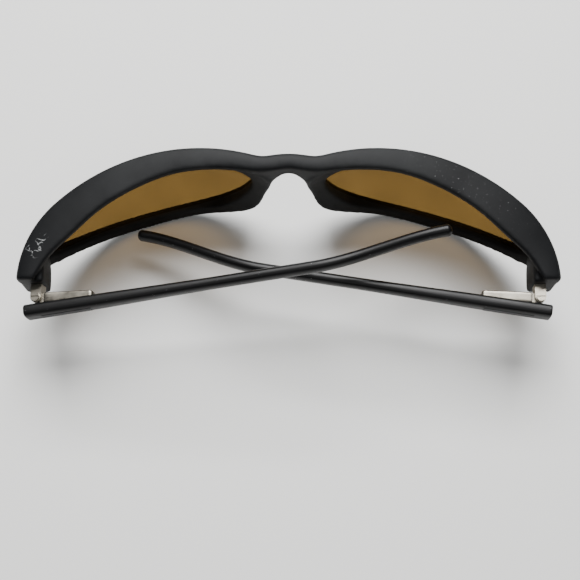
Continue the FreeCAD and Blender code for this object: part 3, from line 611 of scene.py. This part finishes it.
def temple_shell(side_name):
    """Oval section carried along the temple. The section is a superellipse whose exponent
    falls from square-shouldered at the hinge to nearly elliptic at the tip, and both ends
    are rounded by drawing in the section along a quarter circle."""
    s = settings("temple")
    quarter = np.linspace(0, math.pi / 2, 9)
    body = np.linspace(-s.butt + BUTT_ROUND, s.reach + TIP_OVER - TIP_ROUND, TEMPLE_STATIONS)
    x = np.concatenate([-s.butt + BUTT_ROUND * (1 - np.sin(quarter[:0:-1])), body,
                        body[-1] + TIP_ROUND * np.sin(quarter[1:])])
    first = BUTT_ROUND * (1 - np.cos(quarter[:0:-1]))
    last = np.cos(quarter[1:])
    draw = np.concatenate([first, np.zeros(len(body) + 8)])
    scale = np.concatenate([np.ones(8 + len(body)), np.maximum(last, 0.02)])
    knots = [-s.butt, s.waist, s.arm, s.reach]
    thick = np.interp(x, knots, [s.thickness, s.thickness, s.arm_thickness, s.arm_thickness])
    tall = np.interp(x, knots, [s.height, s.waist_height, s.arm_height, s.arm_height])
    power = np.interp(x, knots, SECTION_POWERS)[:, None]
    soften = np.ones(TAPER_SPAN) / TAPER_SPAN
    middle = slice(TAPER_END, -TAPER_END)
    thick[middle] = np.convolve(thick, soften, "same")[middle]
    tall[middle] = np.convolve(tall, soften, "same")[middle]
    centre = np.stack([x, -s.inner - s.thickness / 2 + s.hook_inward * hook(x),
                       -s.hook_drop * hook(x)], 1)
    tangent = np.gradient(centre, x, axis=0)
    tangent /= np.linalg.norm(tangent, axis=1)[:, None]
    across = np.array([0, 1, 0]) - tangent * tangent[:, 1:2]
    across /= np.linalg.norm(across, axis=1)[:, None]
    up = np.cross(tangent, across)
    around = np.linspace(0, 2 * math.pi, 64, endpoint=False)
    cosine, sine = np.cos(around), np.sin(around)
    a = np.sign(cosine) * np.abs(cosine) ** (2 / power)
    b = np.sign(sine) * np.abs(sine) ** (2 / power)
    a = a * ((thick / 2 - draw) * scale)[:, None]
    b = b * ((tall / 2 - draw) * scale)[:, None]
    ring = centre[:, None] + across[:, None] * a[..., None] + up[:, None] * b[..., None]
    return place(rod_shell(ring), hinge_axes(side_name))


def bar_shell(side_name, case, low, high, edge, near_round, far_round):
    """Round-edged bar between two corners of a hinge's own frame. Its ends are rounded by
    drawing in the section along a quarter circle."""
    low, high = np.array(low, float), np.array(high, float)
    quarter = np.linspace(0, math.pi / 2, 8)
    body = np.linspace(low[0] + near_round, high[0] - far_round, 30)
    x = np.concatenate([low[0] + near_round * (1 - np.sin(quarter[:0:-1])), body,
                        body[-1] + far_round * np.sin(quarter[1:])])
    draw = np.concatenate([near_round * (1 - np.cos(quarter[:0:-1])), np.zeros(30),
                           far_round * (1 - np.cos(quarter[1:]))])
    half = (high - low)[1:] / 2
    radius = np.minimum(edge, np.minimum(half[0], half[1]) - draw - 0.01)
    ring = rounded_box_ring(half[0] - draw, half[1] - draw, np.maximum(radius, 0.02), 6, 4)
    middle = (low + high)[1:] / 2
    y = middle[0] + ring[..., 0]
    ring = np.stack([np.broadcast_to(x[:, None], y.shape), y, middle[1] + ring[..., 1]], -1)
    return place(rod_shell(ring), hinge_axes(side_name, case))


LENS_GROWTH = 0.8        # how far a lens runs into its rim
LENS_RINGS = 44          # rings on each face
LENS_STATIONS = 160      # points round each ring
LENS_CENTRE = 0.004      # smallest ring, of the outline


def lens_shell(side):
    """Lens between two spherical faces. Rings of the outline's own shape shrink to the
    middle on the front face, and grow from it on the back one."""
    s, centre, _, _, _, sphere = front_numbers()
    angle = np.linspace(-math.pi, math.pi, LENS_STATIONS, endpoint=False)
    outline = eye_radius(LENS_SHAPE, LENS_GROWTH, angle)
    share = np.linspace(LENS_CENTRE, 1, LENS_RINGS)
    share = np.concatenate([share, share[::-1]])
    depth = s.lens_inset + np.repeat([0.0, s.lens_thickness], LENS_RINGS)
    radius = s.base_radius - depth
    x = centre[0] + share[:, None] * outline * np.cos(angle)
    z = centre[1] + share[:, None] * outline * np.sin(angle)
    y = sphere[1] + np.sqrt(radius[:, None] ** 2 - (x - sphere[0]) ** 2 - (z - sphere[2]) ** 2)
    return rod_shell(np.stack([side * x, y, z], -1))


# ---------------------------------------------------------------------------
# Materials
# ---------------------------------------------------------------------------
class Finish:
    """A new material's node tree with short ways to add nodes to it."""

    def __init__(self, name):
        self.material = bpy.data.materials.new(name)
        self.material.use_nodes = True
        self.nodes = self.material.node_tree.nodes
        self.links = self.material.node_tree.links
        self.shader = self.nodes["Principled BSDF"]
        self.place = self.add("TexCoord").outputs["Object"]

    def add(self, kind, inputs=(), **values):
        node = self.nodes.new("ShaderNode" + kind)
        for name, value in values.items():
            setattr(node, name, value)
        for key, value in dict(inputs).items():
            self.put(node.inputs[key], value)
        return node

    def put(self, socket, value):
        """Link a socket to another node's, or set its value."""
        if isinstance(value, bpy.types.NodeSocket):
            self.links.new(value, socket)
        else:
            socket.default_value = value

    def set(self, **values):
        """Put values into the shader's inputs, whose names are given in lower case."""
        for name, value in values.items():
            self.put(self.shader.inputs[name.replace("_", " ").title()], value)

    def stretch(self, scale=(1, 1, 1), turn=(0, 0, 0)):
        inputs = {"Vector": self.place, "Scale": scale, "Rotation": turn}
        return self.add("Mapping", inputs).outputs[0]

    def noise(self, scale, detail=3.0, rough=0.5, where=None):
        inputs = {"Vector": where or self.place, "Scale": scale, "Detail": detail,
                  "Roughness": rough}
        return self.add("TexNoise", inputs).outputs["Fac"]

    def remap(self, value, low, high, low_to=0.0, high_to=1.0, eased=False):
        inputs = {"Value": value, "From Min": low, "From Max": high, "To Min": low_to,
                  "To Max": high_to}
        kind = "SMOOTHSTEP" if eased else "LINEAR"
        return self.add("MapRange", inputs, interpolation_type=kind).outputs[0]

    def math(self, operation, first, second=0.0):
        return self.add("Math", {0: first, 1: second}, operation=operation).outputs[0]

    def mix(self, share, first, second):
        node = self.add("Mix", {0: share, 6: first, 7: second}, data_type="RGBA")
        return node.outputs[2]

    def near(self, point, inside, outside):
        """One close to a point in millimetres, falling to nothing outside."""
        gap = self.add("VectorMath", {0: self.place, 1: np.array(point) * MM},
                       operation="DISTANCE").outputs["Value"]
        return self.remap(gap, inside * MM, outside * MM, 1.0, 0.0, eased=True)

    def bump(self, height, distance, strength=1.0, under=None):
        inputs = {"Height": height, "Distance": distance * MM, "Strength": strength}
        if under is not None:
            inputs["Normal"] = under
        return self.add("Bump", inputs).outputs[0]


def rgb(name, group="finish"):
    """A named colour with full alpha."""
    return (*getattr(settings(group), name), 1.0)


def grained(finish, colour, rubbed, low, high, grain, depth, dust_and_sheen=0.35):
    """Moulded plastic: cloudy colour, a fine grain, faint long scratches and edges that
    handling has rubbed paler and smoother. Low and high bound its roughness, grain and depth
    are the fineness and height of the grain, and the last argument is how far the clouds go;
    the front raises it at its middle, which paints a sheen there over the dusty clouds."""
    cloud = finish.noise(55, 5, 0.6)
    fine = finish.noise(grain, 2, 0.6)
    waves = finish.noise(900, 3)
    edge = finish.add("NewGeometry").outputs["Pointiness"]
    edge = finish.remap(edge, 0.515, 0.58, 0.0, 0.6, eased=True)
    worn = finish.math("MULTIPLY", edge, finish.remap(cloud, 0.35, 0.65))
    scratch = finish.noise(1500, 2, 0.5, finish.stretch((0.06, 1.0, 0.4), (0, 0, 0.5)))
    scratch = finish.remap(scratch, 0.70, 0.74)
    # how far the clouds go; the front raises this at its middle, which paints a sheen there
    share = finish.remap(cloud, 0.3, 0.7, 0.0, dust_and_sheen)
    share = finish.math("ADD", share, finish.math("MULTIPLY", worn, 0.8))
    share = finish.math("ADD", share, finish.math("MULTIPLY", scratch, 0.12))
    base = finish.mix(share, colour, rubbed)
    rough = finish.remap(finish.math("ADD", cloud, finish.math("MULTIPLY", fine, 0.35)),
                         0.4, 0.85, low, high)
    rough = finish.math("SUBTRACT", rough, finish.math("MULTIPLY", worn, 0.1))
    normal = finish.bump(waves, 0.02, 0.25)
    normal = finish.bump(fine, depth, 0.7, normal)
    finish.set(roughness=rough, normal=normal)
    return base


# scuffed places on the front: point, and the radii where they fade and have gone
SCUFFS = [((-66.7, -22.9, -1.0), 0.8, 3.0), ((-64.6, -20.4, -0.5), 0.5, 2.2)]
SPECKS = ((48.0, -4.0, 3.0), 2.0, 26.0)          # chipped places
PAINTED_SHEEN_SPOT = ((0.0, 0.0, 5.0), 24.0, 78.0)            # painted sheen: where the front is painted paler, on the middle of the brow
SCUFF_DEPTH = 0.6        # how far the marks cover the colour


def front_finish():
    """Charcoal plastic with a painted sheen that makes it paler at the middle, curling scuffs
    at the left end and a few specks on the right."""
    finish = Finish("charcoal_moulding")
    # painted sheen: near the middle of the brow the clouds reach much further towards the paler
    # colour, standing in for light on its top
    dust_and_sheen = finish.add("MapRange", {"Value": finish.near(*PAINTED_SHEEN_SPOT), "To Min": 0.15,
                                    "To Max": 1.3}).outputs[0]
    base = grained(finish, rgb("front"), rgb("front_dust_and_sheen"), 0.42, 0.58, 5200, 0.030, dust_and_sheen)
    curl = finish.math("ABSOLUTE", finish.math("SUBTRACT", finish.noise(420, 1), 0.5))
    curl = finish.remap(curl, 0.010, 0.024, 1.0, 0.0, eased=True)
    broken = finish.remap(finish.noise(700, 2, 0.6), 0.46, 0.54)
    here = finish.math("MAXIMUM", *(finish.near(*scuff) for scuff in SCUFFS))
    spots = finish.math("MULTIPLY", finish.math("MULTIPLY", curl, broken), here)
    speck = finish.noise(2600, 2, 0.6)
    few = finish.math("MULTIPLY", finish.remap(speck, 0.715, 0.735), finish.near(*SPECKS))
    spots = finish.math("MAXIMUM", spots, few)
    finish.set(base_color=finish.mix(finish.math("MULTIPLY", spots, SCUFF_DEPTH), base,
                                     rgb("scuff")))
    level = settings("finish").front_gloss
    finish.shader.inputs["Specular IOR Level"].default_value = level
    return finish.material


def temple_finish():
    """Satin black plastic with a fine grain and a few pale specks."""
    finish = Finish("satin_black_temple")
    base = grained(finish, rgb("temple"), rgb("front"), 0.28, 0.42, 7000, 0.008)
    speck = finish.remap(finish.noise(1800, 2, 0.6), 0.74, 0.76, 0.0, 0.5)
    finish.set(base_color=finish.mix(speck, base, rgb("scuff")))
    level = settings("finish").temple_gloss
    finish.shader.inputs["Specular IOR Level"].default_value = level
    return finish.material


def plaque_finish():
    """Plain matte plastic for the plaques."""
    finish = Finish("plain_plaque")
    base = grained(finish, rgb("plaque"), rgb("front_dust_and_sheen"), 0.5, 0.62, 9000, 0.01)
    finish.set(base_color=base)
    return finish.material


def metal_finish(name, colour, low, high, brush):
    """Plated metal: drawn lines along its length, cloudy tarnish and bright worn edges."""
    finish = Finish(name)
    cloud = finish.noise(350, 4, 0.6)
    lines = finish.noise(2500, 3, 0.6, finish.stretch(brush))
    edge = finish.remap(finish.add("NewGeometry").outputs["Pointiness"], 0.5, 0.62)
    dark = tuple(channel * 0.55 for channel in colour[:3]) + (1.0,)
    base = finish.mix(finish.remap(cloud, 0.35, 0.70), dark, colour)
    pale = tuple(min(1.0, channel * 1.35) for channel in colour[:3]) + (1.0,)
    base = finish.mix(finish.math("MULTIPLY", edge, 0.6), base, pale)
    rough = finish.remap(finish.math("ADD", cloud, finish.math("MULTIPLY", lines, 0.5)),
                         0.5, 1.0, low, high)
    finish.set(base_color=base, roughness=rough, normal=finish.bump(lines, 0.01, 0.35))
    finish.shader.inputs["Metallic"].default_value = 1.0
    return finish.material


LENS_BODY = (0.10, 0.055, 0.018, 1.0)   # colour of the lens's own surface
GLOSS_POWER = 5.0        # gloss rises with this power of the slant
GLOSS = 0.7              # gloss at a grazing angle


def lens_finish():
    """Tinted lens: light passes both faces and takes the tint at each, and a little of the
    surface gloss shows over it, clouded by faint smears and dust."""
    finish = Finish("amber_lens")
    smear = finish.noise(90, 4, 0.6, finish.stretch((1.0, 1.0, 0.5)))
    dust = finish.remap(finish.noise(3200, 1, 0.5), 0.73, 0.76, 0.0, 0.35)
    tint = rgb("lens")
    deep = tuple(channel * 0.86 for channel in tint[:3]) + (1.0,)
    through = finish.add("BsdfTransparent",
                         {"Color": finish.mix(finish.remap(smear, 0.3, 0.7), deep, tint)})
    finish.set(base_color=finish.mix(dust, LENS_BODY, rgb("scuff")),
               roughness=finish.remap(smear, 0.4, 0.75, 0.03, 0.14),
               normal=finish.bump(finish.noise(14, 2), 0.05, 0.1))
    facing = finish.add("LayerWeight", {"Blend": 0.5}).outputs["Facing"]
    gloss = finish.math("MULTIPLY", finish.math("POWER", facing, GLOSS_POWER), GLOSS)
    film = finish.remap(smear, 0.45, 0.8, 0.035, 0.075)
    share = finish.math("ADD", gloss, film)
    share = finish.math("MAXIMUM", share, finish.math("MULTIPLY", dust, 0.6))
    mixed = finish.add("MixShader", {0: share, 1: through.outputs[0],
                                     2: finish.shader.outputs[0]})
    output = finish.nodes["Material Output"]
    finish.links.new(mixed.outputs[0], output.inputs["Surface"])
    return finish.material


def floor_finish():
    """Pale table top with faint clouds."""
    finish = Finish("pale_floor")
    cloud = finish.noise(9, 4, 0.6)
    floor = rgb("floor", "stage")
    paler = tuple(min(1.0, channel * 1.03) for channel in floor[:3]) + (1.0,)
    finish.set(base_color=finish.mix(cloud, floor, paler), roughness=0.6,
               normal=finish.bump(finish.noise(2200, 2), 0.01, 0.1))
    return finish.material


def wear(obj, material):
    obj.data.materials.clear()
    obj.data.materials.append(material)


# ---------------------------------------------------------------------------
# Operators
# ---------------------------------------------------------------------------
FLOOR_HALF = 900.0       # half the side of the floor
FLOOR_CELLS = 8          # cells along each side
FLOOR_GAP = 0.05         # floor below the lowest solid
# place and size of each lamp in metres; every lamp faces the origin
LAMPS = {"window": ((0.0, 0.55, 0.80), 0.66), "fill": ((0.05, -0.45, 0.95), 0.9)}
CASE_MOUTH_ROUND = 0.3   # rounding of the case's near end
PLAQUE_ROUND = 0.12      # rounding of the plaque's ends and edges
PLAQUE_DEPTH = 0.7       # plaque's back under the temple's outer face


def settle(obj, material, body, slot, *nodes):
    """Give a finished piece its material, its body and the solids that it stands for."""
    wear(obj, material)
    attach(obj, body)
    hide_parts(*nodes)


class SUNGLASSES_OT_front(bpy.types.Operator):
    """Build the one-piece moulded front: brow, rims, hinge blocks and nose flanges"""
    bl_idname = "sunglasses.front"
    bl_label = "Front"

    def execute(self, context):
        s = settings("front")
        shells = [brow_shell()]
        for side in SIDES.values():
            shells += [rim_shell(side), block_shell(side)]
        front = make_mesh("front_moulding", shells)
        mould(front, s.voxel, s.smoothing)
        settle(front, front_finish(), "front", "frame", "front_frame")
        return {"FINISHED"}


class SUNGLASSES_OT_lenses(bpy.types.Operator):
    """Build the two spherical tinted lenses"""
    bl_idname = "sunglasses.lenses"
    bl_label = "Lenses"

    def execute(self, context):
        material = lens_finish()
        for name, side in SIDES.items():
            lens = make_mesh(f"amber_lens_{name}", [lens_shell(side)])
            settle(lens, material, "front", "lens", f"lens_{name}")
        return {"FINISHED"}


class SUNGLASSES_OT_temples(bpy.types.Operator):
    """Build the two temples, oval in section and curved at the tips"""
    bl_idname = "sunglasses.temples"
    bl_label = "Temples"

    def execute(self, context):
        material = temple_finish()
        for name in SIDES:
            temple = make_mesh(f"temple_arm_{name}", [temple_shell(name)])
            settle(temple, material, f"temple_{name}", "temple", f"temple_{name}")
        return {"FINISHED"}


class SUNGLASSES_OT_hinges(bpy.types.Operator):
    """Build the spring cases and plaques, and finish the rest of the hinge metal"""
    bl_idname = "sunglasses.hinges"
    bl_label = "Hinges"

    def execute(self, context):
        s, t = settings("hinge"), settings("temple")
        nickel = metal_finish("nickel_case", rgb("nickel"), 0.26, 0.44, (0.15, 1, 1))
        steel = metal_finish("steel_pin", rgb("nickel"), 0.22, 0.38, (1, 1, 0.3))
        plain = plaque_finish()
        for name in SIDES:
            low = (s.case_start, s.case_middle - s.case_depth / 2, -s.case_height / 2)
            high = (s.case_start + s.case_length, s.case_middle + s.case_depth / 2,
                    s.case_height / 2)
            bar = bar_shell(name, True, low, high, s.case_round, CASE_MOUTH_ROUND, s.end_round)
            case = make_mesh(f"spring_case_{name}", [bar])
            settle(case, nickel, f"temple_{name}", "case", f"hinge_case_{name}")
            outer = -t.inner - t.thickness
            low = (s.plaque_start, outer - s.plaque_proud, -s.plaque_height / 2)
            high = (s.plaque_start + s.plaque_length, outer + PLAQUE_DEPTH, s.plaque_height / 2)
            edges = (PLAQUE_ROUND,) * 3
            plaque = make_mesh(f"plain_plaque_{name}", [bar_shell(name, False, low, high, *edges)])
            settle(plaque, plain, f"temple_{name}", "plaque", f"temple_plaque_{name}")
            for node in ("front_hinge", "hinge_screw", "spring_slider", "spring_retainer",
                         "hinge_spring", "case_rivets"):
                solid = bpy.data.objects[f"{node}_{name}"]
                wear(solid, steel if node in ("hinge_screw", "case_rivets") else nickel)
        return {"FINISHED"}


class SUNGLASSES_OT_stage(bpy.types.Operator):
    """Set up the pale floor, the soft lights and the camera"""
    bl_idname = "sunglasses.stage"
    bl_label = "Stage"

    def execute(self, context):
        s = settings("stage")
        low = CAD_BOX[0][2] / MM - FLOOR_GAP
        line = np.linspace(-FLOOR_HALF, FLOOR_HALF, FLOOR_CELLS + 1)
        x, y = np.meshgrid(line, line, indexing="ij")
        grid = np.stack([x, y, np.full_like(x, low)], -1).reshape(-1, 3)
        cell, width = np.arange(FLOOR_CELLS), FLOOR_CELLS + 1
        corner = (cell[:, None] * width + cell[None, :]).reshape(-1, 1)
        mesh = bpy.data.meshes.new("floor")
        mesh.from_pydata((grid * MM).tolist(), [],
                         (corner + [0, width, width + 1, 1]).tolist())
        floor = bpy.data.objects.new("floor", mesh)
        context.scene.collection.objects.link(floor)
        wear(floor, floor_finish())
        world = bpy.data.worlds.new("soft_room")
        world.use_nodes = True
        background = world.node_tree.nodes["Background"]
        background.inputs["Color"].default_value = (1.0, 1.0, 1.0, 1.0)
        background.inputs["Strength"].default_value = s.room
        context.scene.world = world
        for name, (spot, size) in LAMPS.items():
            lamp = bpy.data.lights.new(name, "AREA")
            lamp.size = size
            lamp.energy = getattr(s, name)
            holder = bpy.data.objects.new(name, lamp)
            holder.location = spot
            holder.rotation_euler = (-Vector(spot)).to_track_quat("-Z", "Y").to_euler()
            context.scene.collection.objects.link(holder)
        lens = bpy.data.cameras.new("camera")
        lens.sensor_fit = "HORIZONTAL"
        lens.angle = s.field
        camera = bpy.data.objects.new("camera", lens)
        camera.location = (s.aside, -s.distance * math.cos(s.elevation),
                           s.distance * math.sin(s.elevation))
        camera.rotation_euler = (s.tilt, 0.0, 0.0)
        context.scene.collection.objects.link(camera)
        context.scene.camera = camera
        return {"FINISHED"}


OPERATORS = (SUNGLASSES_OT_front, SUNGLASSES_OT_lenses, SUNGLASSES_OT_temples,
             SUNGLASSES_OT_hinges, SUNGLASSES_OT_stage)


class SUNGLASSES_PT_panel(bpy.types.Panel):
    """Sizes, finishes and the pieces that are built from them"""
    bl_label = "Sunglasses"
    bl_idname = "SUNGLASSES_PT_panel"
    bl_space_type = "VIEW_3D"
    bl_region_type = "UI"
    bl_category = "Sunglasses"

    def draw(self, context):
        for name in GROUPS:
            column = self.layout.box().column()
            group = getattr(context.scene, name)
            for key in group.__annotations__:
                column.prop(group, key)
        for operator in OPERATORS:
            self.layout.operator(operator.bl_idname)


CLASSES = (*GROUPS.values(), *OPERATORS, SUNGLASSES_PT_panel)


def register():
    for cls in CLASSES:
        bpy.utils.register_class(cls)
    for name, group in GROUPS.items():
        setattr(bpy.types.Scene, name, PointerProperty(type=group))


def unregister():
    for name in GROUPS:
        delattr(bpy.types.Scene, name)
    for cls in reversed(CLASSES):
        bpy.utils.unregister_class(cls)


def main():
    register()
    bpy.ops.sunglasses.stage()
    bpy.ops.sunglasses.front()
    bpy.ops.sunglasses.lenses()
    bpy.ops.sunglasses.temples()
    bpy.ops.sunglasses.hinges()


if __name__ == "__main__":
    main()
